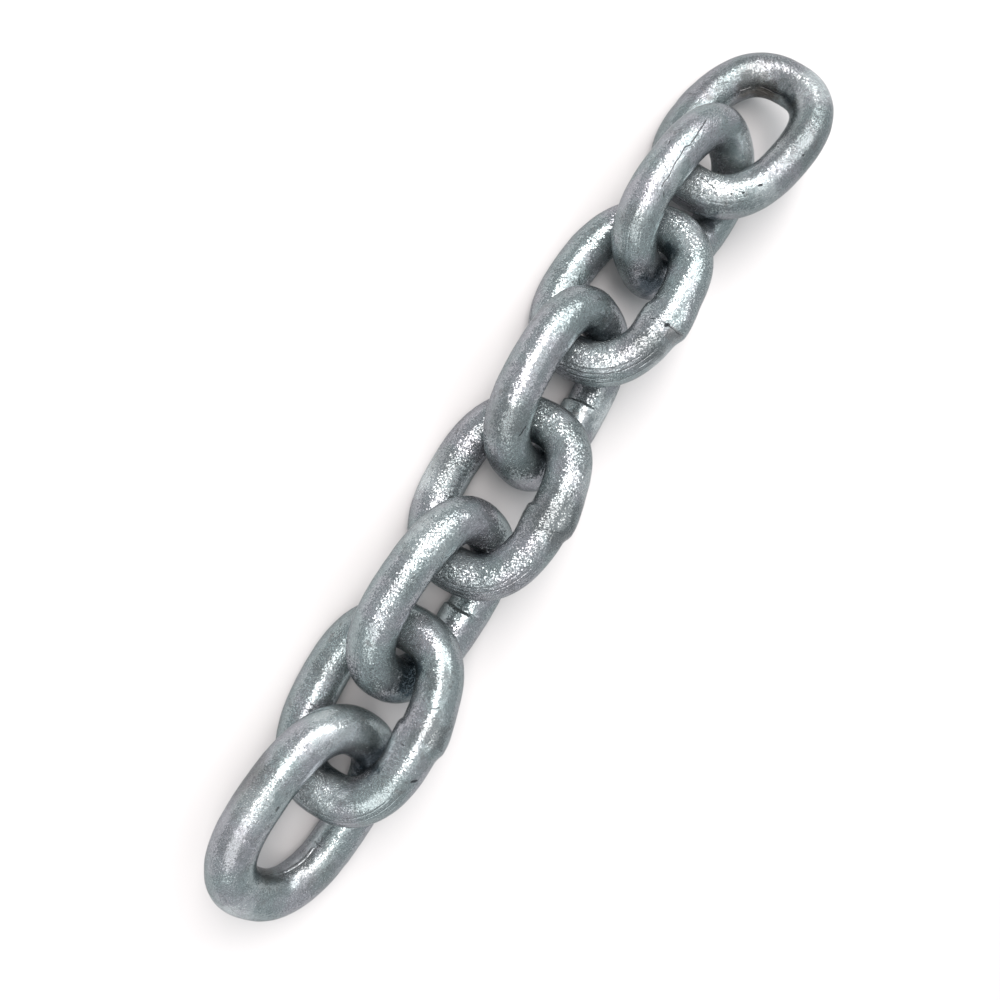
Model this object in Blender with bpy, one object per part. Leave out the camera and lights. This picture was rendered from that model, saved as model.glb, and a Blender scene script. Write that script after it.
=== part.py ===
"""A short length of galvanised short-link steel chain, lying on a level floor.

Eight welded links, each a round bar bent to an oval.  Every link lies on one long side and leans the
opposite way to its neighbours, and each crown passes through the next link with a small gap.
Metres, +Z up, floor at z = 0.  The chain runs along +X, and its box is centred on the origin.
"""
import math

import bmesh
import bpy
from mathutils import Matrix, Vector

# The link: 10 mm bar with its zinc coat, bent to the usual short-link oval.
BAR_DIAMETER = 0.0102
INNER_LENGTH = 0.028
OUTER_WIDTH = 0.036
OVAL_EXPONENT = 2.5

# The butt weld in the middle of one long side.
WELD_SWELL = 0.0005
WELD_HALF_LENGTH = 0.0045

# How the links lie: the gap between two crowns pulled tight, and each link's lean off the floor.
TIGHT_GAP = 0.0006
LEAN = math.radians(37)
END_LEAN = math.radians(31)

# From the first link to the last: the way each one points, in degrees left of +X, and how far each
# pair is pushed together from tight.
HEADINGS_DEG = (-3, 4, -2, 2, 2, -3, -6, -10)
SLACKS = (0.0029, 0.0007, 0.0003, 0, 0, 0, 0.0031)

# The long side that carries the weld, as the sign of its Y in the link.
WELD_SIDES = (-1, -1, -1, -1, -1, -1, -1, 1)

# Facets round the oval and round the bar.
STATIONS = 40
BAR_SIDES = 16

# Hot-dip zinc, dull grey.
ZINC_COLOUR = (0.42, 0.45, 0.46, 1)
ZINC_ROUGHNESS = 0.42
ZINC_METALLIC = 0.9

# Half the size of the oval that the middle of the bar follows.
HALF_LENGTH = (INNER_LENGTH + BAR_DIAMETER) / 2
HALF_WIDTH = (OUTER_WIDTH - BAR_DIAMETER) / 2

LINK_COUNT = len(HEADINGS_DEG)


def clear_scene():
    for item in list(bpy.data.objects):
        bpy.data.objects.remove(item, do_unlink=True)


def zinc(name):
    material = bpy.data.materials.new(name)
    material.use_nodes = True
    shader = material.node_tree.nodes["Principled BSDF"]
    shader.inputs["Base Color"].default_value = ZINC_COLOUR
    shader.inputs["Roughness"].default_value = ZINC_ROUGHNESS
    shader.inputs["Metallic"].default_value = ZINC_METALLIC
    material.diffuse_color = ZINC_COLOUR
    return material


def signed_power(value, power):
    return math.copysign(abs(value) ** power, value)


def oval_point(angle):
    """A point in the middle of the bar, on a superellipse in the link's own XY plane."""
    power = 2 / OVAL_EXPONENT
    return Vector((HALF_LENGTH * signed_power(math.cos(angle), power),
                   HALF_WIDTH * signed_power(math.sin(angle), power), 0))


def oval_outward(angle):
    """The direction square to the oval there, away from the hole."""
    power = 2 - 2 / OVAL_EXPONENT
    return Vector((signed_power(math.cos(angle), power) / HALF_LENGTH,
                   signed_power(math.sin(angle), power) / HALF_WIDTH, 0)).normalized()


def bar_radius(middle, weld_side):
    """The bar's radius, a little more over the weld."""
    radius = BAR_DIAMETER / 2
    along = abs(middle.x) / WELD_HALF_LENGTH
    if middle.y * weld_side > 0 and along < 1:
        radius += WELD_SWELL * (1 + math.cos(math.pi * along)) / 2
    return radius


def bar_ring(angle, lean, weld_side):
    """One ring of points round the bar, turned so that the low side lies on a flat facet."""
    middle = oval_point(angle)
    outward = oval_outward(angle)
    upward = Vector((0, 0, 1))
    radius = bar_radius(middle, weld_side)
    ring = []
    for side in range(BAR_SIDES):
        turn = 2 * math.pi * (side + 0.5) / BAR_SIDES + abs(lean)
        ring.append(middle + radius * (math.cos(turn) * outward + math.sin(turn) * upward))
    return ring


def link_rings(lean, weld_side):
    return [bar_ring(2 * math.pi * (station + 0.5) / STATIONS, lean, weld_side)
            for station in range(STATIONS)]


def link_mesh(name, rings):
    """A closed tube through the rings."""
    mesh = bpy.data.meshes.new(name)
    shape = bmesh.new()
    rows = [[shape.verts.new(point) for point in ring] for ring in rings]
    for row, next_row in zip(rows, rows[1:] + rows[:1]):
        for side in range(BAR_SIDES):
            following = (side + 1) % BAR_SIDES
            shape.faces.new((row[side], next_row[side], next_row[following], row[following]))
    bmesh.ops.recalc_face_normals(shape, faces=shape.faces[:])
    shape.to_mesh(mesh)
    shape.free()
    mesh.shade_smooth()
    return mesh


def link_lean(index):
    """Odd links of the row raise their +Y side, even ones their -Y side; the end links lie flatter."""
    size = END_LEAN if index in (0, LINK_COUNT - 1) else LEAN
    return size if index % 2 == 0 else -size


def link_places():
    """Where each link's centre lies on the floor, the first at zero."""
    place = Vector((0, 0, 0))
    places = [place]
    for index, slack in enumerate(SLACKS):
        direction = math.radians(HEADINGS_DEG[index] + HEADINGS_DEG[index + 1]) / 2
        spacing = INNER_LENGTH - TIGHT_GAP - slack
        place = place + spacing * Vector((math.cos(direction), math.sin(direction), 0))
        places.append(place)
    return places


def lying_matrix(index, place, rings):
    """Turn a link to its heading and lean, and lift it until its low side touches the floor."""
    turn = (Matrix.Rotation(math.radians(HEADINGS_DEG[index]), 4, "Z")
            @ Matrix.Rotation(link_lean(index), 4, "X"))
    lowest = min((turn @ point).z for ring in rings for point in ring)
    return Matrix.Translation(place - Vector((0, 0, lowest))) @ turn


def box_middle(matrices, all_rings):
    """The middle of the whole chain's box, on the floor."""
    points = [matrix @ point for matrix, rings in zip(matrices, all_rings)
              for ring in rings for point in ring]
    middle = [(min(values) + max(values)) / 2
              for values in ([point.x for point in points], [point.y for point in points])]
    return Vector((middle[0], middle[1], 0))


def place_object(item, matrix, parent, parent_matrix):
    """Put an object at a place in the world, under a parent whose own place is known."""
    bpy.context.scene.collection.objects.link(item)
    item.parent = parent
    item.matrix_basis = parent_matrix.inverted() @ matrix


def build_chain():
    leans = [link_lean(index) for index in range(LINK_COUNT)]
    all_rings = [link_rings(lean, side) for lean, side in zip(leans, WELD_SIDES)]
    matrices = [lying_matrix(index, place, rings)
                for index, (place, rings) in enumerate(zip(link_places(), all_rings))]
    shift = Matrix.Translation(-box_middle(matrices, all_rings))
    matrices = [shift @ matrix for matrix in matrices]

    parent, parent_matrix = None, Matrix.Identity(4)
    for index, (matrix, rings) in enumerate(zip(matrices, all_rings)):
        name = f"link_{index + 1}"
        if index > 0:
            # Each link swings in its own plane, about the middle of the crown that it hangs on.
            hinge = bpy.data.objects.new(f"swing_{index + 1}", None)
            crown = matrices[index - 1] @ Vector((HALF_LENGTH, 0, 0))
            hinge_matrix = Matrix.Translation(crown) @ matrix.to_3x3().to_4x4()
            place_object(hinge, hinge_matrix, parent, parent_matrix)
            parent, parent_matrix = hinge, hinge_matrix
        link = bpy.data.objects.new(name, link_mesh(name, rings))
        link.data.materials.append(zinc(name + "_zinc"))
        place_object(link, matrix, parent, parent_matrix)
        parent, parent_matrix = link, matrix


clear_scene()
build_chain()
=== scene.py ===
import math

import bpy
from mathutils import Matrix, Vector


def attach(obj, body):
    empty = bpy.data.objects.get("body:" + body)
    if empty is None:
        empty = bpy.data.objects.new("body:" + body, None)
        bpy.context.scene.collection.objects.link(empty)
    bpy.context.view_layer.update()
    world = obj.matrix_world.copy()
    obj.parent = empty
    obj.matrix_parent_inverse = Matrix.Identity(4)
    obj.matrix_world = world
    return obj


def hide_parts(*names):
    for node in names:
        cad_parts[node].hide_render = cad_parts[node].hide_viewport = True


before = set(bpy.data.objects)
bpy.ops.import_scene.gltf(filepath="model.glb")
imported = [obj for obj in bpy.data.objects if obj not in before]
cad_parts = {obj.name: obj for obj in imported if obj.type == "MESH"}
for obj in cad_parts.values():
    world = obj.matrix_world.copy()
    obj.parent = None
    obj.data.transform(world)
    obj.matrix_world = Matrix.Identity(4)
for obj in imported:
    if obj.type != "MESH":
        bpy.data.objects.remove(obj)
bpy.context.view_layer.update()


# The links.  Each is a cut of round steel bar bent to an oval on a former, threaded through the
# link before it and butt welded in the middle of one long side.  All of them are hot-dip
# galvanised as a finished chain, so the zinc runs over the welds, the former's marks and the
# scale beneath.
BAR_DIAMETER = 0.0102
INNER_LENGTH = 0.028
OUTER_WIDTH = 0.036
OVAL_EXPONENT = 2.5
HALF_LENGTH = (INNER_LENGTH + BAR_DIAMETER) / 2
HALF_WIDTH = (OUTER_WIDTH - BAR_DIAMETER) / 2

# How the chain lies: the first link's middle, the gap between crowns pulled tight, and the leans.
FIRST_MIDDLE = Vector((-0.09216, 0.00195, 0))
TIGHT_GAP = 0.0006
LEAN = 37
END_LEAN = 31

# Rows round the oval and round the bar.
ROWS_ROUND_OVAL = 500
ROWS_ROUND_BAR = 88

# How each link points, in degrees left of +X, and how far it is pushed to the next from tight, in
# metres.
LINKS = {
    "link_1": dict(heading=-3, slack=0.0029),
    "link_2": dict(heading=4, slack=0.0007),
    "link_3": dict(heading=-2, slack=0.0003),
    "link_4": dict(heading=2, slack=0),
    "link_5": dict(heading=2, slack=0),
    "link_6": dict(heading=-3, slack=0),
    "link_7": dict(heading=-6, slack=0.0031),
    "link_8": dict(heading=-10, slack=0),
}

# Each link's weld, in metres: its long side, how far along it the seam and the swellings lie, how
# much the seam slants and between which turns round the bar it shows, in degrees; the outer and
# inner swellings, over what length the inner one ends, how dark the seam is, and how plain the
# trimmed patch beside it is.
WELDS = {
    "link_1": dict(side=-1, seam=-0.0050, slant=0, shown=(150, 200), lumps=0, outer=0.0001,
                   inner=0.0002, step=0.0022, dark=0.5, trim=0),
    "link_2": dict(side=-1, seam=-0.0022, slant=0, shown=(60, 112), lumps=0.0003, outer=0.00080,
                   inner=0.0006, step=0.0016, dark=0.7, trim=0.3),
    "link_3": dict(side=-1, seam=0.0016, slant=0.0004, shown=(100, 200), lumps=0.0006, outer=0,
                   inner=0.0007, step=0.0009, dark=0.3, trim=0),
    "link_4": dict(side=-1, seam=-0.0028, slant=-0.0020, shown=(25, 100), lumps=0, outer=0.0009,
                   inner=0.0006, step=0.0009, dark=0.8, trim=0.5),
    "link_5": dict(side=-1, seam=0.0018, slant=0.0004, shown=(100, 200), lumps=0.0007, outer=0,
                   inner=0.0008, step=0.0008, dark=0.3, trim=0),
    "link_6": dict(side=-1, seam=-0.0044, slant=-0.0006, shown=(15, 108), lumps=-0.0020,
                   outer=0.0009, inner=0.0007, step=0.0022, dark=0.8, trim=1.0),
    "link_7": dict(side=-1, seam=0, slant=0, shown=(0, 200), lumps=0, outer=0.0002,
                   inner=0.0003, step=0.0022, dark=0, trim=0),
    "link_8": dict(side=1, seam=-0.0008, slant=0.0003, shown=(30, 90), lumps=0, outer=0.0002,
                   inner=0.0003, step=0.0022, dark=0.7, trim=0),
}

# Each link's zinc: how many of its small crystals lie along a metre, how far they tilt as slopes,
# how deep its wider ripple is in metres, how many tiny pits it has, how bright and how rough it
# is, and how strong the former's lines on its first crown are.
FINISH = {
    "link_1": dict(grains=4300, tilt=0.19, wide=0.00003, pits=0.8, bright=1.11, rough=0.20,
                   former=0.15),
    "link_2": dict(grains=4300, tilt=0.25, wide=0.00004, pits=0.6, bright=1.07, rough=0.17,
                   former=0.5),
    "link_3": dict(grains=3600, tilt=0.40, wide=0.00007, pits=0.6, bright=1.11, rough=0.17,
                   former=0.3),
    "link_4": dict(grains=3900, tilt=0.50, wide=0.00007, pits=0.8, bright=1.02, rough=0.17,
                   former=0.6),
    "link_5": dict(grains=3200, tilt=0.31, wide=0.00007, pits=0.6, bright=1.05, rough=0.20,
                   former=0.2),
    "link_6": dict(grains=3600, tilt=0.36, wide=0.00006, pits=0.6, bright=1.09, rough=0.18,
                   former=1.0),
    "link_7": dict(grains=4300, tilt=0.23, wide=0.00006, pits=0.9, bright=1.09, rough=0.19,
                   former=0.2),
    "link_8": dict(grains=4000, tilt=0.22, wide=0.00006, pits=0.7, bright=0.93, rough=0.21,
                   former=0.15),
}

# Pits, scratches and runs seen on single links: points on the skin in the link's own millimetres,
# a width and a depth in millimetres, and how dark the line is.  A raised run has a negative
# depth.
MARKS = {
    "link_1": [
        dict(points=((-0.4, 12.6, 5.1), (0.3, 12.9, 5.1)), width=0.5, depth=0.10, dark=0.8),
        dict(points=((-10.8, 15.8, -3.1), (-10.4, 15.9, -3.0)), width=0.6, depth=0.20, dark=0.5),
        dict(points=((-14.0, -1.0, 0.6), (-13.6, -3.2, 0.4), (-12.7, -4.8, 0.4),
                     (-10.7, -6.2, 0.7), (-8.6, -7.0, 0.9), (-6.3, -7.5, 0.7)),
             width=0.5, depth=-0.12, dark=0),
    ],
    "link_2": [
        dict(points=((-7.7, -16.7, 2.9), (-7.1, -17.0, 2.2)), width=0.6, depth=0.12, dark=0.9),
        dict(points=((3.0, -16.4, 3.7), (3.6, -16.6, 3.3)), width=0.3, depth=-0.08, dark=0),
        dict(points=((6.6, -13.6, 5.0), (7.6, -15.0, 4.4)), width=0.3, depth=0.08, dark=0.5),
    ],
    "link_3": [],
    "link_4": [
        dict(points=((-2.4, -16.4, 3.7), (-4.6, -16.6, 3.4)), width=0.35, depth=-0.08, dark=0),
    ],
    "link_5": [
        dict(points=((-16.1, 10.4, 4.9), (-13.9, 10.4, 5.1)), width=0.3, depth=0.06, dark=0.8),
    ],
    "link_6": [
        dict(points=((-4.8, -15.2, 4.5), (-4.3, -15.7, 4.2)), width=0.55, depth=0.2, dark=1.0),
        dict(points=((-7.2, -16.0, 3.7), (-5.8, -16.0, 3.8)), width=0.35, depth=-0.12, dark=0),
    ],
    "link_7": [
        dict(points=((-8.7, 14.8, 4.4), (-6.2, 15.2, 4.4), (-2.6, 15.9, 4.1), (1.5, 16.2, 3.8),
                     (2.9, 15.9, 4.1), (6.5, 15.9, 3.9), (10.7, 15.7, 3.2)),
             width=0.22, depth=0.05, dark=0.8),
        dict(points=((-8.9, 13.8, 4.8), (-9.8, 12.8, 5.0)), width=0.25, depth=0.06, dark=0.8),
        dict(points=((0.5, 17.9, 0.8), (1.1, 17.9, 0.6)), width=0.4, depth=0.1, dark=0.7),
    ],
    "link_8": [
        dict(points=((0.4, -16.1, 4.0), (0.7, -16.3, 3.8)), width=0.4, depth=0.12, dark=1.0),
        dict(points=((-12.9, -13.3, 4.5), (-12.5, -13.5, 4.5)), width=0.45, depth=0.12, dark=1.0),
        dict(points=((-16.7, -11.4, 4.4), (-16.5, -11.6, 4.4)), width=0.35, depth=0.12, dark=1.0),
        dict(points=((-18.4, -9.5, 4.5), (-18.3, -9.7, 4.5)), width=0.3, depth=0.12, dark=1.0),
        dict(points=((-19.1, -1.2, 5.1), (-19.9, -6.1, 4.8)), width=0.2, depth=0.05, dark=0.7),
        dict(points=((5.2, 11.3, 4.9), (7.0, 10.2, 4.6)), width=0.4, depth=-0.10, dark=0),
        dict(points=((-3.6, 12.0, 4.9), (0.5, 11.5, 4.9)), width=0.4, depth=-0.10, dark=0),
        dict(points=((9.0, 7.2, 1.7), (11.6, 6.0, 1.4)), width=0.35, depth=-0.14, dark=0),
        dict(points=((13.4, 4.6, 1.6), (14.2, 1.6, 1.0), (14.2, -1.4, 1.4)), width=0.4, depth=0.12,
             dark=0.7),
        dict(points=((12.6, 5.2, 0.4), (13.9, 2.4, -0.4)), width=0.35, depth=-0.12, dark=0),
    ],
}
MILLIMETRE = 0.001

# Patches on single links: the middle and the reach in the link's own millimetres, how strong
# they are, and the kind: bright, a painted sheen where highlights fall, with coarser grain;
# dimmed, painted shade over the edge of a highlight; brown, the zinc's own darker tone; or
# dark, painted shade in a recess where a neighbour lies close.
PATCHES = {
    "link_1": [
        dict(middle=(16.6, -3.8, 2.8), reach=8.0, share=0.82, kind="painted_recess_shade"),
        dict(middle=(-14.0, 1.0, -1.0), reach=6.5, share=0.60, kind="brown"),
        dict(middle=(1.4, 17.2, -2.8), reach=9.0, share=0.50, kind="brown"),
        dict(middle=(-9.0, -10.5, 3.0), reach=7.0, share=0.25, kind="brown"),
        dict(middle=(-10.5, -7.0, 2.8), reach=4.5, share=0.60, kind="painted_dim_shade"),
        dict(middle=(-11.3, 15.1, 3.5), reach=4.5, share=0.55, kind="painted_dim_shade"),
        dict(middle=(-1.4, 16.2, 3.5), reach=6.0, share=0.40, kind="bright"),
        dict(middle=(18.8, 10.0, 3.0), reach=8.0, share=0.50, kind="bright"),
        dict(middle=(-21.4, 3.8, 1.0), reach=6.8, share=0.90, kind="bright"),
        dict(middle=(12.1, -5.0, 0.2), reach=3.5, share=0.75, kind="painted_recess_shade"),
    ],
    "link_2": [
        dict(middle=(-17.7, -0.6, 4.8), reach=6.5, share=1.00, kind="bright"),
        dict(middle=(-14.3, 0.0, -0.8), reach=6.0, share=0.85, kind="painted_recess_shade"),
        dict(middle=(2.5, -16.0, 4.0), reach=5.5, share=0.90, kind="painted_dim_shade"),
        dict(middle=(11.9, -12.2, 4.9), reach=4.2, share=0.70, kind="painted_dim_shade"),
        dict(middle=(2.8, 10.6, 4.7), reach=5.0, share=0.50, kind="painted_dim_shade"),
        dict(middle=(-9.1, -8.2, 3.3), reach=3.0, share=0.70, kind="painted_recess_shade"),
        dict(middle=(12.4, -6.2, 3.0), reach=3.8, share=0.75, kind="painted_recess_shade"),
    ],
    "link_3": [
        dict(middle=(-17.7, -2.2, 4.0), reach=7.5, share=0.90, kind="painted_recess_shade"),
        dict(middle=(10.0, 16.1, 2.5), reach=8.0, share=0.50, kind="bright"),
        dict(middle=(-1.0, 16.6, 3.6), reach=5.0, share=0.40, kind="painted_dim_shade"),
        dict(middle=(-13.9, -2.8, 0.6), reach=4.0, share=0.80, kind="painted_recess_shade"),
        dict(middle=(14.4, -1.2, 1.2), reach=4.0, share=0.75, kind="painted_recess_shade"),
    ],
    "link_4": [
        dict(middle=(-17.6, -3.6, 4.9), reach=5.0, share=0.60, kind="bright"),
        dict(middle=(17.3, -4.6, 5.0), reach=5.5, share=0.60, kind="bright"),
        dict(middle=(-3.0, 16.4, 3.0), reach=8.5, share=1.00, kind="bright"),
        dict(middle=(10.7, -16.9, 0.6), reach=6.0, share=0.60, kind="bright"),
        dict(middle=(0.0, -15.6, 4.2), reach=9.5, share=0.90, kind="painted_dim_shade"),
        dict(middle=(0.0, 12.0, 5.0), reach=6.0, share=0.60, kind="painted_dim_shade"),
        dict(middle=(18.5, -9.5, 4.4), reach=4.0, share=0.30, kind="painted_dim_shade"),
        dict(middle=(-13.4, -4.3, 2.4), reach=4.2, share=0.75, kind="painted_recess_shade"),
        dict(middle=(14.2, -2.2, 1.6), reach=4.0, share=0.75, kind="painted_recess_shade"),
    ],
    "link_5": [
        dict(middle=(2.5, -13.6, 5.0), reach=6.5, share=1.00, kind="bright"),
        dict(middle=(-16.0, -2.0, 3.5), reach=6.5, share=0.60, kind="painted_recess_shade"),
        dict(middle=(15.0, 0.0, 1.5), reach=7.0, share=0.75, kind="painted_recess_shade"),
        dict(middle=(-15.0, 13.8, 2.9), reach=7.5, share=0.70, kind="painted_dim_shade"),
        dict(middle=(5.3, -9.2, 3.7), reach=3.5, share=0.50, kind="painted_dim_shade"),
        dict(middle=(-14.0, -2.0, 1.0), reach=4.0, share=0.80, kind="painted_recess_shade"),
        dict(middle=(12.4, 5.2, 2.0), reach=4.5, share=0.75, kind="painted_recess_shade"),
    ],
    "link_6": [
        dict(middle=(-16.8, -4.5, 5.0), reach=7.0, share=0.80, kind="bright"),
        dict(middle=(16.7, -6.9, 5.0), reach=6.0, share=0.60, kind="bright"),
        dict(middle=(-10.4, -17.6, -1.0), reach=6.0, share=1.00, kind="bright"),
        dict(middle=(-10.8, -14.6, 4.2), reach=7.5, share=0.90, kind="painted_dim_shade"),
        dict(middle=(-4.6, 11.1, 4.8), reach=4.0, share=0.35, kind="painted_dim_shade"),
        dict(middle=(12.6, -4.9, 2.2), reach=5.0, share=0.85, kind="painted_recess_shade"),
        dict(middle=(-15.2, -1.2, 3.3), reach=3.5, share=0.75, kind="painted_recess_shade"),
    ],
    "link_7": [
        dict(middle=(-20.4, -2.9, 3.6), reach=7.2, share=0.85, kind="painted_recess_shade"),
        dict(middle=(20.2, 1.0, 4.7), reach=6.5, share=1.00, kind="bright"),
        dict(middle=(-4.5, 15.2, 4.3), reach=5.0, share=0.40, kind="bright"),
        dict(middle=(-17.8, 12.4, 2.7), reach=5.5, share=0.55, kind="painted_dim_shade"),
        dict(middle=(-14.8, -4.0, 2.8), reach=4.0, share=0.80, kind="painted_recess_shade"),
        dict(middle=(3.1, -8.3, 2.2), reach=3.0, share=0.60, kind="painted_recess_shade"),
    ],
    "link_8": [
        dict(middle=(13.2, 3.0, -0.4), reach=6.5, share=0.95, kind="brown"),
        dict(middle=(10.8, 6.6, 1.8), reach=5.8, share=0.65, kind="brown"),
        dict(middle=(13.6, -4.2, 1.8), reach=3.8, share=0.70, kind="brown"),
        dict(middle=(-12.9, -5.5, 4.5), reach=7.0, share=0.40, kind="bright"),
        dict(middle=(-12.3, -15.4, 3.4), reach=4.8, share=0.60, kind="bright"),
        dict(middle=(-1.5, -8.8, 3.2), reach=5.5, share=0.60, kind="bright"),
        dict(middle=(-18.4, -3.0, 4.8), reach=7.0, share=1.00, kind="bright"),
        dict(middle=(19.4, -7.6, 2.8), reach=8.5, share=1.00, kind="bright"),
        dict(middle=(2.0, -12.8, 5.0), reach=10.0, share=0.50, kind="painted_dim_shade"),
        dict(middle=(13.6, 7.4, 4.8), reach=5.5, share=0.65, kind="painted_dim_shade"),
        dict(middle=(14.5, -1.4, 5.0), reach=5.5, share=0.55, kind="painted_dim_shade"),
        dict(middle=(5.4, 11.2, 4.9), reach=4.0, share=0.35, kind="painted_dim_shade"),
        dict(middle=(-20.6, -7.5, 3.6), reach=4.0, share=0.35, kind="painted_dim_shade"),
        dict(middle=(13.9, -3.6, 2.1), reach=3.0, share=0.60, kind="painted_recess_shade"),
        dict(middle=(-22.4, -7.2, -1.4), reach=3.0, share=0.60, kind="painted_recess_shade"),
    ],
}
PATCH_COLOURS = {
    # Pale: a painted sheen where highlights fall.
    "bright": (0.54, 0.59, 0.60, 1),
    "brown": (0.085, 0.078, 0.070, 1),
    # Dim grey: painted shade over the edge of a highlight.
    "painted_dim_shade": (0.150, 0.165, 0.170, 1),
    # Near black: painted shade in a recess where a neighbour lies close.
    "painted_recess_shade": (0.018, 0.036, 0.050, 1),
}


def wire(tree, value, socket):
    """Feed a socket from another socket, or give it a value."""
    if isinstance(value, bpy.types.NodeSocket):
        tree.links.new(value, socket)
    else:
        socket.default_value = value


def calc(tree, operation, *values):
    node = tree.nodes.new("ShaderNodeMath")
    node.operation = operation
    for value, socket in zip(values, node.inputs):
        wire(tree, value, socket)
    return node.outputs[0]


def calc_vector(tree, operation, *values):
    node = tree.nodes.new("ShaderNodeVectorMath")
    node.operation = operation
    for value, socket in zip(values, node.inputs):
        wire(tree, value, socket)
    return node.outputs["Value" if operation in ("LENGTH", "DOT_PRODUCT") else "Vector"]


def scaled(tree, vector, factor):
    node = tree.nodes.new("ShaderNodeVectorMath")
    node.operation = "SCALE"
    wire(tree, vector, node.inputs[0])
    wire(tree, factor, node.inputs["Scale"])
    return node.outputs["Vector"]


def vector_of(tree, x, y, z):
    node = tree.nodes.new("ShaderNodeCombineXYZ")
    for value, socket in zip((x, y, z), node.inputs):
        wire(tree, value, socket)
    return node.outputs[0]


def parts_of(tree, vector):
    node = tree.nodes.new("ShaderNodeSeparateXYZ")
    wire(tree, vector, node.inputs[0])
    return node.outputs


def ramp(tree, value, low, high):
    """A smooth step from 0 at low to 1 at high."""
    node = tree.nodes.new("ShaderNodeMapRange")
    node.interpolation_type = "SMOOTHSTEP"
    for given, name in ((value, "Value"), (low, "From Min"), (high, "From Max")):
        wire(tree, given, node.inputs[name])
    return node.outputs["Result"]


def noise(tree, vector, scale, detail=2, roughness=0.5):
    node = tree.nodes.new("ShaderNodeTexNoise")
    for given, name in ((vector, "Vector"), (scale, "Scale"), (detail, "Detail"),
                        (roughness, "Roughness")):
        wire(tree, given, node.inputs[name])
    return node.outputs["Fac"]


def centred(tree, value):
    """Noise that runs from 0 to 1, moved to run about zero."""
    return calc(tree, "SUBTRACT", value, 0.5)


def signed_power(tree, value, power):
    size = calc(tree, "POWER", calc(tree, "ABSOLUTE", value), power)
    return calc(tree, "MULTIPLY", size, calc(tree, "SIGN", value))


def new_inputs(tree, *rows):
    """Named inputs of a node tree, each row a name, a socket kind and the value it starts with."""
    for name, kind, value in rows:
        socket = tree.interface.new_socket(name, in_out="INPUT", socket_type=kind)
        if value is not None:
            socket.default_value = value
    return tree.nodes.new("NodeGroupInput").outputs


# How much the sheet's rows crowd together where the oval's own angle moves fast.
ROW_PULL = 0.15

# The noise on the skin: how far apart the links take it, and its waves along a metre in the
# wobble of the weld's edges and in the zinc's wide and fine lumps.
SEED_STEP = 0.37
WOBBLE_NOISE = dict(scale=260)
WOBBLE = 0.0016
WIDE_LUMPS = dict(scale=200, detail=1.5)
FINE_LUMPS = dict(scale=620, detail=2)
FINE_SHARE = 0.35

# The weld's swellings.  Each rises from nothing to its full height on a gentle side and a steep
# side, given in metres along the bar from its place, and between two cosines of the turn from
# outward.  The inner one's steep side starts at its top's end and takes each link's own step.
OUTER_GENTLE = (0.0085, 0.0004)
OUTER_STEEP = (-0.0034, -0.0004)
OUTER_ROUND = (0.6, 1.0)
INNER_GENTLE = (-0.0080, -0.0008)
INNER_TOP = 0.0006
INNER_ROUND = (-0.25, -0.8)

# How near the rolled sheet's edges have to lie to be merged, in metres.
MERGE_DISTANCE = 1e-6


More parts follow.
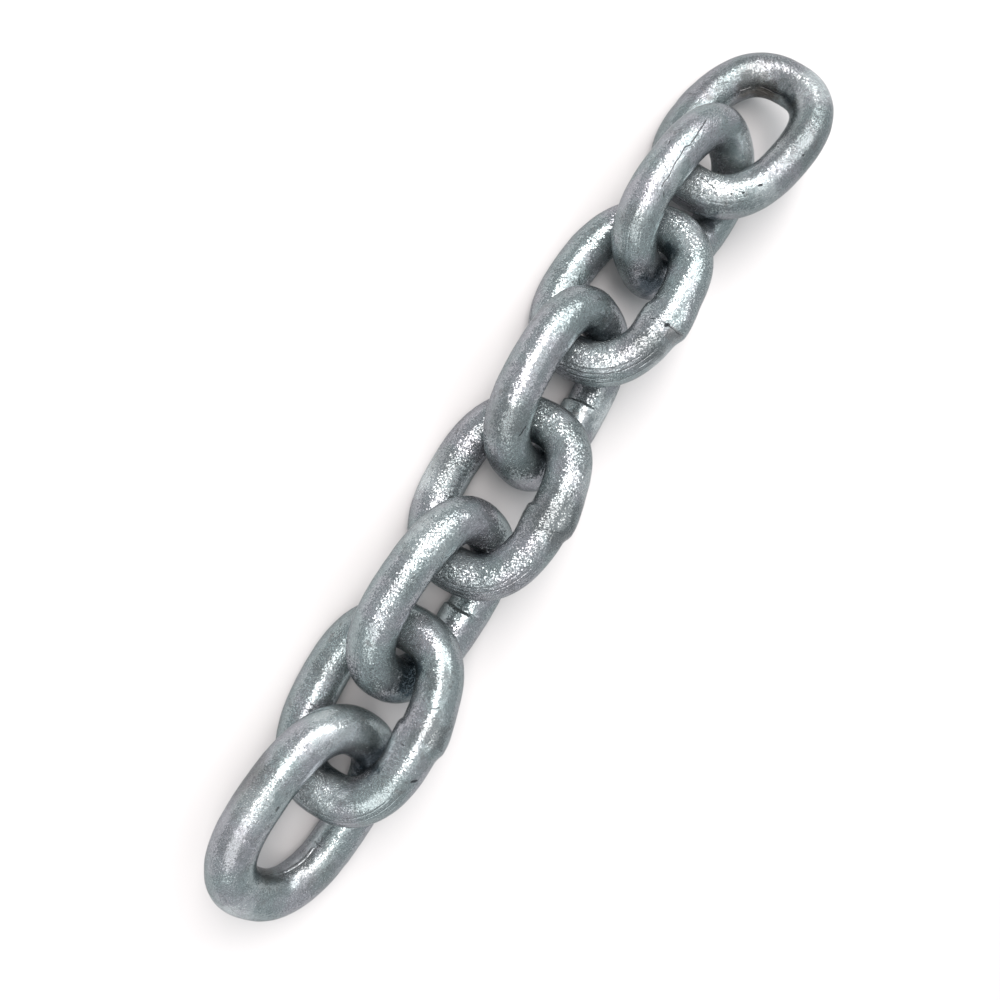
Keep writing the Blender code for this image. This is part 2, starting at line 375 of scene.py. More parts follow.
def link_tree():
    """Bends the bar to its oval, raises the weld's and the zinc's lumps and lays the link down."""
    tree = bpy.data.node_groups.new("bent_and_welded_bar", "GeometryNodeTree")
    tree.interface.new_socket("Geometry", in_out="OUTPUT", socket_type="NodeSocketGeometry")
    given = new_inputs(
        tree,
        ("Rows Round Oval", "NodeSocketInt", ROWS_ROUND_OVAL),
        ("Rows Round Bar", "NodeSocketInt", ROWS_ROUND_BAR),
        ("Half Length", "NodeSocketFloat", HALF_LENGTH),
        ("Half Width", "NodeSocketFloat", HALF_WIDTH),
        ("Oval Exponent", "NodeSocketFloat", OVAL_EXPONENT),
        ("Bar Radius", "NodeSocketFloat", BAR_DIAMETER / 2),
        ("Weld Side", "NodeSocketFloat", -1.0),
        ("Weld Place", "NodeSocketFloat", 0.0),
        ("Outer Lump", "NodeSocketFloat", 0.0008),
        ("Inner Lump", "NodeSocketFloat", 0.0007),
        ("Inner Step", "NodeSocketFloat", 0.0022),
        ("Zinc Lumps", "NodeSocketFloat", 0.00018),
        ("Seed", "NodeSocketFloat", 0.0),
        ("Lean", "NodeSocketFloat", 0.0),
        ("Heading", "NodeSocketFloat", 0.0),
        ("Place", "NodeSocketVector", (0.0, 0.0, 0.0)),
        ("Material", "NodeSocketMaterial", None),
    )

    # A sheet of rows, which is rolled round the bar one way and round the oval the other.
    grid = tree.nodes.new("GeometryNodeMeshGrid")
    wire(tree, calc(tree, "ADD", given["Rows Round Oval"], 1), grid.inputs["Vertices X"])
    wire(tree, calc(tree, "ADD", given["Rows Round Bar"], 1), grid.inputs["Vertices Y"])
    flat = parts_of(tree, tree.nodes.new("GeometryNodeInputPosition").outputs[0])
    even = calc(tree, "MULTIPLY", flat[0], math.tau)
    around_bar = calc(tree, "MULTIPLY", flat[1], math.tau)

    # Rows lie closer at the middles of the sides and crowns, where the oval's angle moves fast.
    pull = calc(tree, "MULTIPLY", calc(tree, "SINE", calc(tree, "MULTIPLY", even, 4)), ROW_PULL)
    around_oval = calc(tree, "SUBTRACT", even, pull)
    across = calc(tree, "COSINE", around_oval)
    along = calc(tree, "SINE", around_oval)
    place_power = calc(tree, "DIVIDE", 2, given["Oval Exponent"])
    facing_power = calc(tree, "SUBTRACT", 2, place_power)
    middle = vector_of(
        tree,
        calc(tree, "MULTIPLY", signed_power(tree, across, place_power), given["Half Length"]),
        calc(tree, "MULTIPLY", signed_power(tree, along, place_power), given["Half Width"]),
        0)
    outward = calc_vector(tree, "NORMALIZE", vector_of(
        tree,
        calc(tree, "DIVIDE", signed_power(tree, across, facing_power), given["Half Length"]),
        calc(tree, "DIVIDE", signed_power(tree, along, facing_power), given["Half Width"]),
        0))
    out_share = calc(tree, "COSINE", around_bar)
    up_share = calc(tree, "SINE", around_bar)
    direction = calc_vector(tree, "ADD", scaled(tree, outward, out_share),
                            vector_of(tree, 0, 0, up_share))
    skin = calc_vector(tree, "ADD", middle, scaled(tree, direction, given["Bar Radius"]))

    # The weld's two swellings: the outer one ends steeply to -X, the inner one to +X.
    seed_shift = vector_of(tree, *[calc(tree, "MULTIPLY", given["Seed"], SEED_STEP)] * 3)
    apart = calc_vector(tree, "ADD", skin, seed_shift)
    wobble = calc(tree, "MULTIPLY", centred(tree, noise(tree, apart, **WOBBLE_NOISE)), WOBBLE)
    at = calc(tree, "SUBTRACT", parts_of(tree, middle)[0], given["Weld Place"])
    at = calc(tree, "ADD", at, wobble)
    on_side = calc(tree, "GREATER_THAN",
                   calc(tree, "MULTIPLY", parts_of(tree, middle)[1], given["Weld Side"]), 0)
    outer = calc(tree, "MULTIPLY", ramp(tree, at, *OUTER_GENTLE), ramp(tree, at, *OUTER_STEEP))
    outer = calc(tree, "MULTIPLY", outer, ramp(tree, out_share, *OUTER_ROUND))
    inner_end = calc(tree, "ADD", given["Inner Step"], INNER_TOP)
    inner = calc(tree, "MULTIPLY", ramp(tree, at, *INNER_GENTLE),
                 ramp(tree, at, inner_end, INNER_TOP))
    inner = calc(tree, "MULTIPLY", inner, ramp(tree, out_share, *INNER_ROUND))
    lumps = calc(tree, "ADD", calc(tree, "MULTIPLY", outer, given["Outer Lump"]),
                 calc(tree, "MULTIPLY", inner, given["Inner Lump"]))
    lumps = calc(tree, "MULTIPLY", lumps, on_side)

    # Runs and lumps in the zinc, a few millimetres wide.
    wide = centred(tree, noise(tree, apart, **WIDE_LUMPS))
    fine = centred(tree, noise(tree, apart, **FINE_LUMPS))
    zinc_lumps = calc(tree, "ADD", wide, calc(tree, "MULTIPLY", fine, FINE_SHARE))
    lumps = calc(tree, "ADD", lumps, calc(tree, "MULTIPLY", zinc_lumps, given["Zinc Lumps"]))

    # What the finish follows is stored on the flat sheet: where on the link the skin is, where it
    # faces, and which way round the bar that is.  Then the sheet is rolled.
    marked = grid.outputs["Mesh"]
    for name, value in (("link_place", skin), ("skin_facing", direction),
                        ("bar_turn", vector_of(tree, out_share, up_share, 0))):
        store = tree.nodes.new("GeometryNodeStoreNamedAttribute")
        store.data_type = "FLOAT_VECTOR"
        store.domain = "POINT"
        store.inputs["Name"].default_value = name
        wire(tree, marked, store.inputs["Geometry"])
        wire(tree, value, store.inputs["Value"])
        marked = store.outputs[0]
    rolled = tree.nodes.new("GeometryNodeSetPosition")
    wire(tree, marked, rolled.inputs["Geometry"])
    wire(tree, calc_vector(tree, "ADD", skin, scaled(tree, direction, lumps)),
         rolled.inputs["Position"])

    closed = tree.nodes.new("GeometryNodeMergeByDistance")
    wire(tree, rolled.outputs[0], closed.inputs["Geometry"])
    closed.inputs["Distance"].default_value = MERGE_DISTANCE
    turned = tree.nodes.new("GeometryNodeTransform")
    wire(tree, closed.outputs[0], turned.inputs["Geometry"])
    wire(tree, vector_of(tree, given["Lean"], 0, given["Heading"]), turned.inputs["Rotation"])

    # The link drops until its lowest point is on the floor.
    lowest = tree.nodes.new("GeometryNodeAttributeStatistic")
    wire(tree, turned.outputs[0], lowest.inputs["Geometry"])
    wire(tree, parts_of(tree, tree.nodes.new("GeometryNodeInputPosition").outputs[0])[2],
         lowest.inputs["Attribute"])
    lift = vector_of(tree, 0, 0, calc(tree, "MULTIPLY", lowest.outputs["Min"], -1))
    laid = tree.nodes.new("GeometryNodeTransform")
    wire(tree, turned.outputs[0], laid.inputs["Geometry"])
    wire(tree, calc_vector(tree, "ADD", given["Place"], lift), laid.inputs["Translation"])
    smoothed = tree.nodes.new("GeometryNodeSetShadeSmooth")
    wire(tree, laid.outputs[0], smoothed.inputs["Geometry"])

    real = tree.nodes.new("GeometryNodeRealizeInstances")
    wire(tree, smoothed.outputs[0], real.inputs["Geometry"])
    finished = tree.nodes.new("GeometryNodeSetMaterial")
    wire(tree, real.outputs[0], finished.inputs["Geometry"])
    wire(tree, given["Material"], finished.inputs["Material"])
    tree.links.new(finished.outputs[0], tree.nodes.new("NodeGroupOutput").inputs["Geometry"])
    return tree


def new_group(name, outputs, *inputs):
    """A shader node group with its named sockets: the tree, its inputs and its output node."""
    tree = bpy.data.node_groups.new(name, "ShaderNodeTree")
    for output, kind in outputs:
        tree.interface.new_socket(output, in_out="OUTPUT", socket_type=kind)
    given = new_inputs(tree, *inputs)
    return tree, given, tree.nodes.new("NodeGroupOutput").inputs


def mix_colour(tree, share, first, second):
    node = tree.nodes.new("ShaderNodeMix")
    node.data_type = "RGBA"
    wire(tree, share, node.inputs["Factor"])
    wire(tree, first, node.inputs[6])
    wire(tree, second, node.inputs[7])
    return node.outputs[2]


# The zinc's clouds: the waves along a metre of each noise and the values between which it fades
# in, where the dark ones are taken and how much they show, and what the speckle and the crystals
# add to the darkest level.
BROAD_CLOUDS, BROAD_FADE = dict(scale=95, detail=3), (0.40, 0.66)
MOTTLE, MOTTLE_FADE = dict(scale=480, detail=4, roughness=0.65), (0.47, 0.70)
DARK_CLOUDS, DARK_FADE = dict(scale=130, detail=3), (0.48, 0.68)
DARK_APART = (0.31, 0.17, 0.05)
DARK_SHARE = 0.7
SPECKLE, SPECKLE_FADE = dict(scale=3400, detail=2), (0.3, 0.7)
SPECKLE_SHARE = 0.28
CRYSTAL_SHARE = 0.25
DARKEST_LEVEL = 0.75


def clouds_group():
    """The zinc's cloudy colour: grey-green, lilac grey and a darker, browner grey in patches."""
    tree, given, out = new_group(
        "zinc_clouds", [("Color", "NodeSocketColor"), ("Dull", "NodeSocketFloat")],
        ("Vector", "NodeSocketVector", None),
        ("Green Grey", "NodeSocketColor", (0.245, 0.287, 0.294, 1)),
        ("Lilac Grey", "NodeSocketColor", (0.298, 0.307, 0.330, 1)),
        ("Dark Grey", "NodeSocketColor", (0.130, 0.130, 0.130, 1)),
        ("Crystal Shade", "NodeSocketFloat", 0.5),
        ("Bright", "NodeSocketFloat", 1.0))
    broad = ramp(tree, noise(tree, given["Vector"], **BROAD_CLOUDS), *BROAD_FADE)
    colour = mix_colour(tree, broad, given["Green Grey"], given["Lilac Grey"])
    mottle = ramp(tree, noise(tree, given["Vector"], **MOTTLE), *MOTTLE_FADE)
    apart = calc_vector(tree, "ADD", given["Vector"], DARK_APART)
    dark = ramp(tree, noise(tree, apart, **DARK_CLOUDS), *DARK_FADE)
    dark = calc(tree, "MULTIPLY", mottle, dark)
    colour = mix_colour(tree, calc(tree, "MULTIPLY", dark, DARK_SHARE), colour, given["Dark Grey"])
    speckle = ramp(tree, noise(tree, given["Vector"], **SPECKLE), *SPECKLE_FADE)
    speckle = calc(tree, "ADD", calc(tree, "MULTIPLY", speckle, SPECKLE_SHARE),
                   calc(tree, "MULTIPLY", given["Crystal Shade"], CRYSTAL_SHARE))
    level = calc(tree, "MULTIPLY", calc(tree, "ADD", speckle, DARKEST_LEVEL), given["Bright"])
    wire(tree, scaled(tree, colour, level), out["Color"])
    wire(tree, dark, out["Dull"])
    return tree


# The zinc's grain: the waves along a metre of each noise, the values between which it fades in
# and where it is taken; the grain's least strength, how much more it gets, and how much coarser
# it is under the bright patches of painted sheen; the strengths between which pits fade in, and
# their depth in metres.
STRENGTH_CLOUDS, STRENGTH_FADE = dict(scale=150, detail=2), (0.36, 0.64)
STRENGTH_APART = (0.13, 0.29, 0.41)
LEAST_STRENGTH = 0.6
STRENGTH_SPAN = 0.6
COARSE_GAIN = 0.45
RIPPLES = dict(scale=900, detail=2)
PIT_NOISE, PIT_FADE = dict(scale=2300, detail=1), (0.60, 0.68)
PIT_APART = (0.57, 0.03, 0.22)
PIT_STRENGTH = (0.5, 1.1)
PIT_DEPTH = 0.00003


def grain_group():
    """The zinc's skin, which breaks up the light: small tilted crystals, ripples and tiny pits."""
    tree, given, out = new_group(
        "zinc_grain", [("Height", "NodeSocketFloat"), ("Pits", "NodeSocketFloat"),
                       ("Shade", "NodeSocketFloat")],
        ("Vector", "NodeSocketVector", None),
        ("Crystal Grains", "NodeSocketFloat", 3600.0),
        ("Crystal Tilt", "NodeSocketFloat", 0.3),
        ("Wide Depth", "NodeSocketFloat", 0.0001),
        ("Pit Share", "NodeSocketFloat", 0.5),
        ("Calm", "NodeSocketFloat", 0.0),
        ("Coarse", "NodeSocketFloat", 0.0))
    apart = calc_vector(tree, "ADD", given["Vector"], STRENGTH_APART)
    strength = ramp(tree, noise(tree, apart, **STRENGTH_CLOUDS), *STRENGTH_FADE)
    strength = calc(tree, "ADD", calc(tree, "MULTIPLY", strength, STRENGTH_SPAN), LEAST_STRENGTH)
    strength = calc(tree, "MULTIPLY", strength, calc(tree, "SUBTRACT", 1, given["Calm"]))
    coarse = calc(tree, "ADD", 1, calc(tree, "MULTIPLY", given["Coarse"], COARSE_GAIN))
    strength = calc(tree, "MULTIPLY", strength, coarse)

    # Each crystal is a flat facet: its own slope, times the way from its middle.
    cells = tree.nodes.new("ShaderNodeTexVoronoi")
    wire(tree, given["Vector"], cells.inputs["Vector"])
    wire(tree, given["Crystal Grains"], cells.inputs["Scale"])
    tilt = calc_vector(tree, "SUBTRACT", cells.outputs["Color"], (0.5, 0.5, 0.5))
    inside = calc_vector(tree, "SUBTRACT", given["Vector"], cells.outputs["Position"])
    crystals = calc(tree, "MULTIPLY", calc_vector(tree, "DOT_PRODUCT", tilt, inside),
                    given["Crystal Tilt"])
    wide = calc(tree, "MULTIPLY", noise(tree, given["Vector"], **RIPPLES), given["Wide Depth"])
    height = calc(tree, "MULTIPLY", calc(tree, "ADD", crystals, wide), strength)

    apart = calc_vector(tree, "ADD", given["Vector"], PIT_APART)
    pits = calc(tree, "MULTIPLY", ramp(tree, noise(tree, apart, **PIT_NOISE), *PIT_FADE),
                given["Pit Share"])
    pits = calc(tree, "MULTIPLY", pits, ramp(tree, strength, *PIT_STRENGTH))
    height = calc(tree, "SUBTRACT", height, calc(tree, "MULTIPLY", pits, PIT_DEPTH))
    wire(tree, height, out["Height"])
    wire(tree, pits, out["Pits"])
    wire(tree, parts_of(tree, cells.outputs["Color"])[2], out["Shade"])
    return tree


# A mark's wobble: its waves along a metre and where its two ways are taken.  The mark ends at one
# share of its width from its middle, is full inside another share of that, and only reaches skin
# this far above or below it, in metres.
MARK_WOBBLE = dict(scale=600, detail=2)
MARK_APART = ((0.0, 0.0, 0.0), (0.7, 0.2, 0.5))
MARK_EDGE = 0.8
MARK_CORE = 0.3
MARK_RISE = 0.0015


def mark_group():
    """One straight stretch of a scratch, pit or run, between two points of the skin."""
    tree, given, out = new_group(
        "skin_mark", [("Height", "NodeSocketFloat"), ("Mask", "NodeSocketFloat")],
        ("Link Place", "NodeSocketVector", None),
        ("Skin Facing", "NodeSocketVector", None),
        ("Start", "NodeSocketVector", (0.0, 0.0, 0.0)),
        ("End", "NodeSocketVector", (0.001, 0.0, 0.0)),
        ("Width", "NodeSocketFloat", 0.0003),
        ("Depth", "NodeSocketFloat", 0.0001),
        ("Wobble", "NodeSocketFloat", 0.0010),
        ("Dark", "NodeSocketFloat", 0.8))
    bent = []
    for apart in MARK_APART:
        moved = calc_vector(tree, "ADD", given["Link Place"], apart)
        bent.append(centred(tree, noise(tree, moved, **MARK_WOBBLE)))
    sway = scaled(tree, vector_of(tree, bent[0], bent[1], 0), given["Wobble"])
    place = calc_vector(tree, "ADD", given["Link Place"], sway)
    run = calc_vector(tree, "SUBTRACT", given["End"], given["Start"])
    offset = calc_vector(tree, "SUBTRACT", place, given["Start"])
    share = calc(tree, "DIVIDE", calc_vector(tree, "DOT_PRODUCT", offset, run),
                 calc_vector(tree, "DOT_PRODUCT", run, run))
    share = calc(tree, "MINIMUM", calc(tree, "MAXIMUM", share, 0), 1)
    nearest = calc_vector(tree, "ADD", given["Start"], scaled(tree, run, share))
    offset = calc_vector(tree, "SUBTRACT", place, nearest)
    rise = calc_vector(tree, "DOT_PRODUCT", offset, given["Skin Facing"])
    flat = calc_vector(tree, "SUBTRACT", offset, scaled(tree, given["Skin Facing"], rise))
    near = calc(tree, "LESS_THAN", calc(tree, "ABSOLUTE", rise), MARK_RISE)
    edge = calc(tree, "MULTIPLY", given["Width"], MARK_EDGE)
    core = calc(tree, "MULTIPLY", edge, MARK_CORE)
    mask = calc(tree, "MULTIPLY", ramp(tree, calc_vector(tree, "LENGTH", flat), edge, core), near)
    sunk = calc(tree, "MULTIPLY", given["Depth"], -1)
    wire(tree, calc(tree, "MULTIPLY", mask, sunk), out["Height"])
    wire(tree, calc(tree, "MULTIPLY", mask, given["Dark"]), out["Mask"])
    return tree


# A patch's edge: its waves along a metre, how far they reach in metres, and the share of the
# reach inside which the patch is full.
PATCH_EDGE = dict(scale=420, detail=4, roughness=0.6)
PATCH_RAGGED = 0.010
PATCH_CORE = 0.25


def patch_group():
    """A patch round a point of the link, with a mottled edge."""
    tree, given, out = new_group(
        "zinc_patch", [("Mask", "NodeSocketFloat")],
        ("Link Place", "NodeSocketVector", None),
        ("Middle", "NodeSocketVector", (0.0, 0.0, 0.0)),
        ("Reach", "NodeSocketFloat", 0.006),
        ("Share", "NodeSocketFloat", 0.5))
    offset = calc_vector(tree, "SUBTRACT", given["Link Place"], given["Middle"])
    ragged = calc(tree, "MULTIPLY", centred(tree, noise(tree, given["Link Place"], **PATCH_EDGE)),
                  PATCH_RAGGED)
    away = calc(tree, "ADD", calc_vector(tree, "LENGTH", offset), ragged)
    mask = ramp(tree, away, given["Reach"], calc(tree, "MULTIPLY", given["Reach"], PATCH_CORE))
    wire(tree, calc(tree, "MULTIPLY", mask, given["Share"]), out["Mask"])
    return tree


# The former's lines: where along the link they fade in, in metres, and between which turns round
# the bar, in radians.  So many would fill a whole turn.  They drift, and each comes and goes, by
# noise that is drawn out along the bar.
FORMER_ALONG = (-0.008, -0.015)
FORMER_LOW_TURN = (0.05, 0.25)
FORMER_HIGH_TURN = (1.10, 0.85)
LINES_IN_A_TURN = 29
LINE_DRIFT = 3.2
LINE_EDGE = (0.1, 0.95)
LINE_FADE = (0.36, 0.46)
DRIFT_STRETCH = (40, 60, 1.5)
FADE_STRETCH = (110, 3.7)


def former_group():
    """Fine lines round the outside of the first crown, where the former dragged on the bar."""
    tree, given, out = new_group(
        "former_lines", [("Height", "NodeSocketFloat"), ("Mask", "NodeSocketFloat")],
        ("Link Place", "NodeSocketVector", None),
        ("Bar Turn", "NodeSocketVector", None),
        ("Depth", "NodeSocketFloat", 0.00006))
    turn = parts_of(tree, given["Bar Turn"])
    angle = calc(tree, "ARCTAN2", turn[1], turn[0])
    place = parts_of(tree, given["Link Place"])
    near = calc(tree, "MULTIPLY", ramp(tree, place[0], *FORMER_ALONG),
                ramp(tree, angle, *FORMER_LOW_TURN))
    near = calc(tree, "MULTIPLY", near, ramp(tree, angle, *FORMER_HIGH_TURN))
    drawn_out = vector_of(tree, calc(tree, "MULTIPLY", place[1], DRIFT_STRETCH[1]),
                          calc(tree, "MULTIPLY", angle, DRIFT_STRETCH[2]),
                          calc(tree, "MULTIPLY", place[0], DRIFT_STRETCH[0]))
    drift = calc(tree, "MULTIPLY", noise(tree, drawn_out, scale=1, detail=2), LINE_DRIFT)
    phase = calc(tree, "ADD", calc(tree, "MULTIPLY", angle, LINES_IN_A_TURN), drift)
    lines = ramp(tree, calc(tree, "SINE", phase), *LINE_EDGE)
    count = calc(tree, "FLOOR", calc(tree, "DIVIDE", phase, math.tau))
    drawn_out = vector_of(tree, calc(tree, "MULTIPLY", place[1], FADE_STRETCH[0]),
                          calc(tree, "MULTIPLY", count, FADE_STRETCH[1]), 0)
    fade = ramp(tree, noise(tree, drawn_out, scale=1, detail=1), *LINE_FADE)
    mask = calc(tree, "MULTIPLY", calc(tree, "MULTIPLY", near, fade), lines)
    sunk = calc(tree, "MULTIPLY", given["Depth"], -1)
    wire(tree, calc(tree, "MULTIPLY", mask, sunk), out["Height"])
    wire(tree, mask, out["Mask"])
    return tree


# The seam: its wobble in metres and the waves of it along a metre, the noise that breaks it, how
# wide it is from its middle, how softly it ends round the bar in radians, and its depth.
SEAM_WOBBLE_NOISE, SEAM_WOBBLE = dict(scale=500, detail=3), 0.0010
SEAM_BREAKS, SEAM_FADE = dict(scale=420, detail=2), (0.36, 0.48)
SEAM_WIDTH = (0.00017, 0.00005)
SEAM_ENDS = 0.15
SEAM_DEPTH = 0.00006

# The trimmed patch: its two edges along the bar, in metres from the seam, and its two edges round
# it.
TRIM_ALONG = ((-0.0030, -0.0024), (0.0008, 0.0002))
TRIM_ROUND = ((0.0, 0.15), (0.95, 0.8))


def seam_group():
    """The hairline where the bar's two ends met, and the smoother patch trimmed beside it."""
    tree, given, out = new_group(
        "weld_seam", [("Height", "NodeSocketFloat"), ("Mask", "NodeSocketFloat"),
                      ("Trimmed", "NodeSocketFloat")],
        ("Link Place", "NodeSocketVector", None),
        ("Bar Turn", "NodeSocketVector", None),
        ("Weld Side", "NodeSocketFloat", -1.0),
        ("Seam Place", "NodeSocketFloat", 0.0),
        ("Seam Slant", "NodeSocketFloat", 0.0),
        ("Lowest Turn", "NodeSocketFloat", 0.0),
        ("Highest Turn", "NodeSocketFloat", 3.2),
        ("Trim", "NodeSocketFloat", 0.0))
    place = parts_of(tree, given["Link Place"])
    turn = parts_of(tree, given["Bar Turn"])
    wobble = centred(tree, noise(tree, given["Link Place"], **SEAM_WOBBLE_NOISE))
    wobble = calc(tree, "MULTIPLY", wobble, SEAM_WOBBLE)
    angle = calc(tree, "ARCTAN2", turn[1], turn[0])
    slant = calc(tree, "MULTIPLY", calc(tree, "SUBTRACT", angle, 1), given["Seam Slant"])
    at = calc(tree, "SUBTRACT", calc(tree, "ADD", place[0], wobble),
              calc(tree, "ADD", given["Seam Place"], slant))
    on_side = calc(tree, "GREATER_THAN", calc(tree, "MULTIPLY", place[1], given["Weld Side"]), 0)
    broken = ramp(tree, noise(tree, given["Link Place"], **SEAM_BREAKS), *SEAM_FADE)
    line = calc(tree, "MULTIPLY", ramp(tree, calc(tree, "ABSOLUTE", at), *SEAM_WIDTH), broken)
    line = calc(tree, "MULTIPLY", line, on_side)
    for limit, way in (("Lowest Turn", SEAM_ENDS), ("Highest Turn", -SEAM_ENDS)):
        edge = ramp(tree, angle, given[limit], calc(tree, "ADD", given[limit], way))
        line = calc(tree, "MULTIPLY", line, edge)
    trimmed = calc(tree, "MULTIPLY", *(ramp(tree, at, *edge) for edge in TRIM_ALONG))
    for edge in TRIM_ROUND:
        trimmed = calc(tree, "MULTIPLY", trimmed, ramp(tree, angle, *edge))
    trimmed = calc(tree, "MULTIPLY", calc(tree, "MULTIPLY", trimmed, on_side), given["Trim"])
    wire(tree, calc(tree, "MULTIPLY", line, -SEAM_DEPTH), out["Height"])
    wire(tree, line, out["Mask"])
    wire(tree, trimmed, out["Trimmed"])
    return tree


groups = {"clouds": clouds_group(), "grain": grain_group(), "mark": mark_group(),
          "patch": patch_group(), "former": former_group(), "seam": seam_group()}


def placed(tree, group, **values):
    node = tree.nodes.new("ShaderNodeGroup")
    node.node_tree = groups[group]
    for name, value in values.items():
        wire(tree, value, node.inputs[name.replace("_", " ").title()])
    return node.outputs


# The whole finish: how far apart the links take their patterns, how calm and how plain a trimmed
# patch gets, the depth and shade of the former's lines, how dark pits are, and how much rougher
# the dark clouds are.  The seam, the marks, the lines and the pits all show the dirt's colour.
LINK_APART = 0.11
TRIM_CALM = 0.7
TRIM_PLAIN = 0.6
TRIM_COLOUR = (0.20, 0.19, 0.19, 1)
FORMER_DEPTH = 0.00016
FORMER_SHADE = 0.3
PIT_SHADE = 0.45
DULL_ROUGHNESS = 0.12
DIRT_COLOUR = (0.035, 0.04, 0.045, 1)
METALLIC = 0.86
EDGE_TINT = (0.55, 0.57, 0.58, 1)


def zinc_material(name, weld, finish, marks, patches, seed):
    """Hot-dip zinc: a satin metal, cloudy and grained, with its marks, lines and weld seam."""
    material = bpy.data.materials.new(name)
    material.use_nodes = True
    tree = material.node_tree
    shader = tree.nodes["Principled BSDF"]
    coordinates = tree.nodes.new("ShaderNodeTexCoord")
    apart = calc_vector(tree, "ADD", coordinates.outputs["Object"], (seed * LINK_APART, 0.0, 0.0))
    stored = {}
    for stored_name in ("link_place", "skin_facing", "bar_turn"):
        node = tree.nodes.new("ShaderNodeAttribute")
        node.attribute_name = stored_name
        stored[stored_name] = node.outputs["Vector"]
    place, turn = stored["link_place"], stored["bar_turn"]

    seam = placed(tree, "seam", link_place=place, bar_turn=turn, weld_side=float(weld["side"]),
                  seam_place=weld["seam"], seam_slant=weld["slant"], trim=weld["trim"],
                  lowest_turn=math.radians(weld["shown"][0]),
                  highest_turn=math.radians(weld["shown"][1]))
    masks = [placed(tree, "patch", link_place=place, middle=Vector(spot["middle"]) * MILLIMETRE,
                    reach=spot["reach"] * MILLIMETRE, share=spot["share"])["Mask"]
             for spot in patches]
    # Under the bright patches, which paint a sheen, the grain is coarser too.
    coarse = 0.0
    for spot, mask in zip(patches, masks):
        if spot["kind"] == "bright":
            coarse = calc(tree, "MAXIMUM", mask, coarse)
    grain = placed(tree, "grain", vector=apart, crystal_grains=float(finish["grains"]),
                   crystal_tilt=finish["tilt"], wide_depth=finish["wide"],
                   pit_share=finish["pits"], coarse=coarse,
                   calm=calc(tree, "MULTIPLY", seam["Trimmed"], TRIM_CALM))
    clouds = placed(tree, "clouds", vector=apart, crystal_shade=grain["Shade"],
                    bright=finish["bright"])
    former = placed(tree, "former", link_place=place, bar_turn=turn,
                    depth=FORMER_DEPTH * finish["former"])
    height = calc(tree, "ADD", grain["Height"], former["Height"])
    height = calc(tree, "ADD", height, seam["Height"])
    dirt = calc(tree, "MAXIMUM", calc(tree, "MULTIPLY", seam["Mask"], weld["dark"]),
                calc(tree, "MULTIPLY", grain["Pits"], PIT_SHADE))
    dirt = calc(tree, "MAXIMUM", dirt,
                calc(tree, "MULTIPLY", former["Mask"], FORMER_SHADE * finish["former"]))
    for mark in marks:
        points = [Vector(point) * MILLIMETRE for point in mark["points"]]
        for start, end in zip(points, points[1:]):
            line = placed(tree, "mark", link_place=place, skin_facing=stored["skin_facing"],
                          start=start, end=end, width=mark["width"] * MILLIMETRE,
                          depth=mark["depth"] * MILLIMETRE, dark=mark["dark"])
            height = calc(tree, "ADD", height, line["Height"])
            dirt = calc(tree, "MAXIMUM", dirt, line["Mask"])

    bump = tree.nodes.new("ShaderNodeBump")
    bump.inputs["Distance"].default_value = 1
    wire(tree, height, bump.inputs["Height"])
    wire(tree, bump.outputs["Normal"], shader.inputs["Normal"])

    colour = mix_colour(tree, calc(tree, "MULTIPLY", seam["Trimmed"], TRIM_PLAIN), clouds["Color"],
                        TRIM_COLOUR)
    # The patches paint over the zinc: a sheen, shade over a highlight's edge, shade in recesses
    # near a neighbour, or the zinc's own brown.
    for spot, mask in zip(patches, masks):
        colour = mix_colour(tree, mask, colour, PATCH_COLOURS[spot["kind"]])
    wire(tree, mix_colour(tree, dirt, colour, DIRT_COLOUR), shader.inputs["Base Color"])
    roughness = calc(tree, "ADD", finish["rough"],
                     calc(tree, "MULTIPLY", clouds["Dull"], DULL_ROUGHNESS))
    wire(tree, roughness, shader.inputs["Roughness"])
    shader.inputs["Metallic"].default_value = METALLIC
    shader.inputs["Specular Tint"].default_value = EDGE_TINT
    return material


bar = link_tree()
identifiers = {item.name: item.identifier for item in bar.interface.items_tree
               if item.in_out == "INPUT"}
place = FIRST_MIDDLE
names = list(LINKS)
for number, name in enumerate(names):
    link, weld = LINKS[name], WELDS[name]
    lean = END_LEAN if name in (names[0], names[-1]) else LEAN
    lean = lean if number % 2 == 0 else -lean
    material = zinc_material(name + "_zinc", weld, FINISH[name], MARKS[name], PATCHES[name],
                             number)

    source = bpy.data.objects.new("bar_" + name, bpy.data.meshes.new("bar_" + name))
    bpy.context.scene.collection.objects.link(source)
    modifier = source.modifiers.new("bend", "NODES")
    modifier.node_group = bar
    for socket, value in (("Weld Side", float(weld["side"])),
                          ("Weld Place", float(weld["lumps"])),
                          ("Outer Lump", float(weld["outer"])),
                          ("Inner Lump", float(weld["inner"])),
                          ("Inner Step", float(weld["step"])),
                          ("Seed", float(number)),
                          ("Lean", math.radians(lean)),
                          ("Heading", math.radians(link["heading"])),
                          ("Place", place),
                          ("Material", material)):
        modifier[identifiers[socket]] = value
    depsgraph = bpy.context.evaluated_depsgraph_get()
    mesh = bpy.data.meshes.new_from_object(source.evaluated_get(depsgraph), depsgraph=depsgraph)
    bpy.data.objects.remove(source)
    piece = bpy.data.objects.new("bar_" + name, mesh)
    bpy.context.scene.collection.objects.link(piece)
    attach(piece, name)
    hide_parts(name)

    if number + 1 < len(names):
        direction = math.radians(link["heading"] + LINKS[names[number + 1]]["heading"]) / 2
        spacing = INNER_LENGTH - TIGHT_GAP - link["slack"]
        place = place + spacing * Vector((math.cos(direction), math.sin(direction), 0))


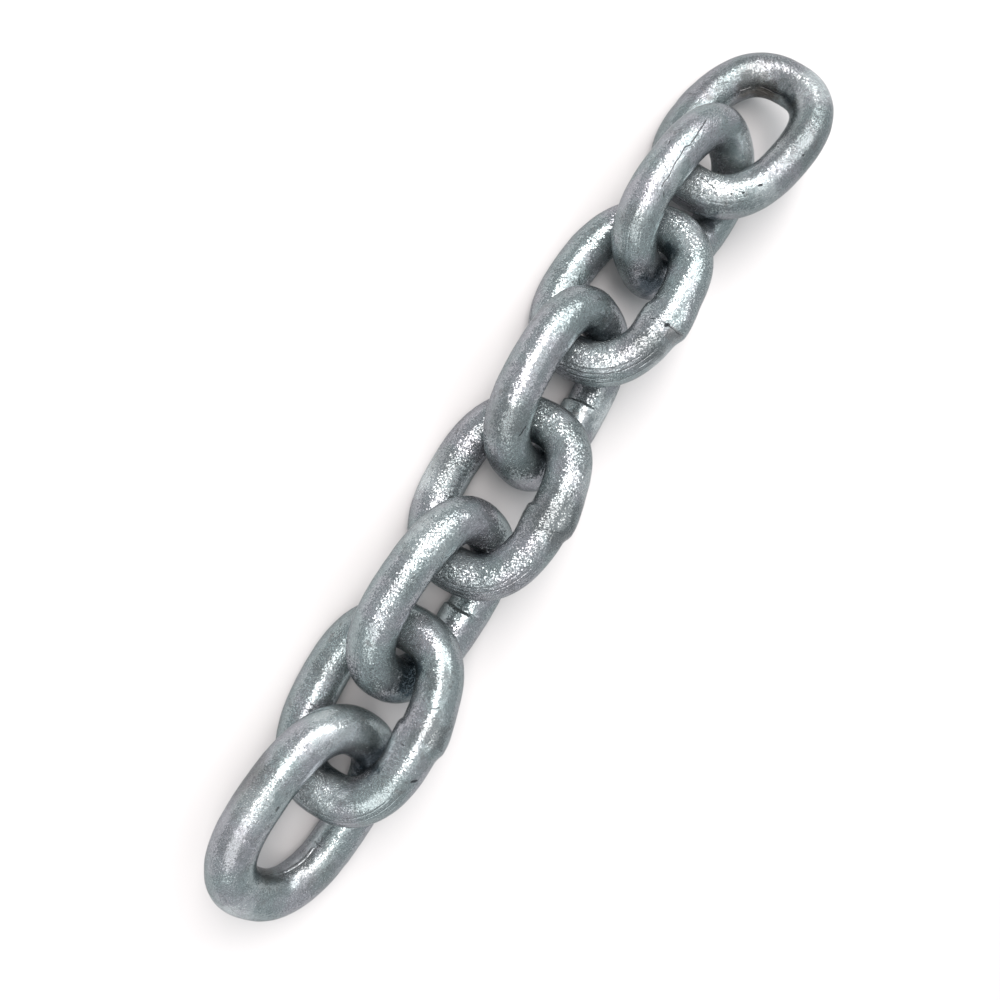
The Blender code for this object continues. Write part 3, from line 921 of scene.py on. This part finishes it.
# The floor: a plain, pale, matt board under the chain.
FLOOR_COLOUR = (0.58, 0.58, 0.585, 1)
FLOOR_ROUGHNESS = 0.9
FLOOR_HALF = 3.0
floor_mesh = bpy.data.meshes.new("floor")
corners = [(x * FLOOR_HALF, y * FLOOR_HALF, 0) for x, y in ((-1, -1), (1, -1), (1, 1), (-1, 1))]
floor_mesh.from_pydata(corners, [], [(0, 1, 2, 3)])
floor = bpy.data.objects.new("floor", floor_mesh)
bpy.context.scene.collection.objects.link(floor)
board = bpy.data.materials.new("pale_board")
board.use_nodes = True
board_shader = board.node_tree.nodes["Principled BSDF"]
board_shader.inputs["Base Color"].default_value = FLOOR_COLOUR
board_shader.inputs["Roughness"].default_value = FLOOR_ROUGHNESS
floor_mesh.materials.append(board)


# The light: a long soft strip overhead along the chain, a wide dim box round it, a box to each
# side and a pale room.  Each box's first edge runs along X, swung to the left by its turn in
# degrees.  Distances and sizes are in metres and powers in watts.
LIGHTS = {
    "strip": dict(towards=(0.18, 0.36, 0.95), away=0.9, size=(1.0, 0.36), turn=26, power=8.2,
                  colour=(1.0, 0.92, 0.89)),
    "wide_box": dict(towards=(0.25, -0.06, 0.95), away=1.0, size=(1.2, 1.0), turn=0, power=3.7,
                     colour=(1.0, 0.99, 0.98)),
    "left_box": dict(towards=(-0.64, 0.12, 0.76), away=0.9, size=(0.40, 0.70), turn=0, power=2.2,
                     colour=(1.0, 0.96, 0.94)),
    "right_box": dict(towards=(0.68, 0.08, 0.73), away=0.9, size=(0.30, 0.80), turn=0, power=2.7,
                      colour=(1.0, 0.96, 0.94)),
}
for name, box in LIGHTS.items():
    lamp = bpy.data.lights.new(name, "AREA")
    lamp.shape = "RECTANGLE"
    lamp.size, lamp.size_y = box["size"]
    lamp.energy = box["power"]
    lamp.color = box["colour"]
    light = bpy.data.objects.new(name, lamp)
    back = Vector(box["towards"]).normalized()
    edge = Vector((math.cos(math.radians(box["turn"])), math.sin(math.radians(box["turn"])), 0))
    side = (edge - back * back.dot(edge)).normalized()
    turn = Matrix((side, back.cross(side), back)).transposed()
    light.matrix_world = Matrix.Translation(back * box["away"]) @ turn.to_4x4()
    bpy.context.scene.collection.objects.link(light)

ROOM_COLOUR = (0.93, 0.97, 1.0, 1)
ROOM_STRENGTH = 0.64
world = bpy.data.worlds.new("room")
world.use_nodes = True
world.node_tree.nodes["Background"].inputs["Color"].default_value = ROOM_COLOUR
world.node_tree.nodes["Background"].inputs["Strength"].default_value = ROOM_STRENGTH
bpy.context.scene.world = world
bpy.context.scene.view_settings.view_transform = "Standard"


# The camera: close over the chain, a little to its left, looking steeply down.
CAMERA_PLACE = (-0.04803, 0.05839, 0.21119)
CAMERA_RIGHT = Vector((0.51711, -0.79628, 0.3139))
CAMERA_BACK = Vector((-0.1592, 0.27086, 0.94936))
SENSOR = 36
LENS = 34.118
NEAREST = 0.01
camera_data = bpy.data.cameras.new("camera")
camera_data.sensor_width = SENSOR
camera_data.lens = LENS
camera_data.clip_start = NEAREST
camera = bpy.data.objects.new("camera", camera_data)
camera_up = CAMERA_BACK.cross(CAMERA_RIGHT).normalized()
turn = Matrix((CAMERA_RIGHT, camera_up, CAMERA_BACK)).transposed()
camera.matrix_world = Matrix.Translation(CAMERA_PLACE) @ turn.to_4x4()
bpy.context.scene.collection.objects.link(camera)
bpy.context.scene.camera = camera
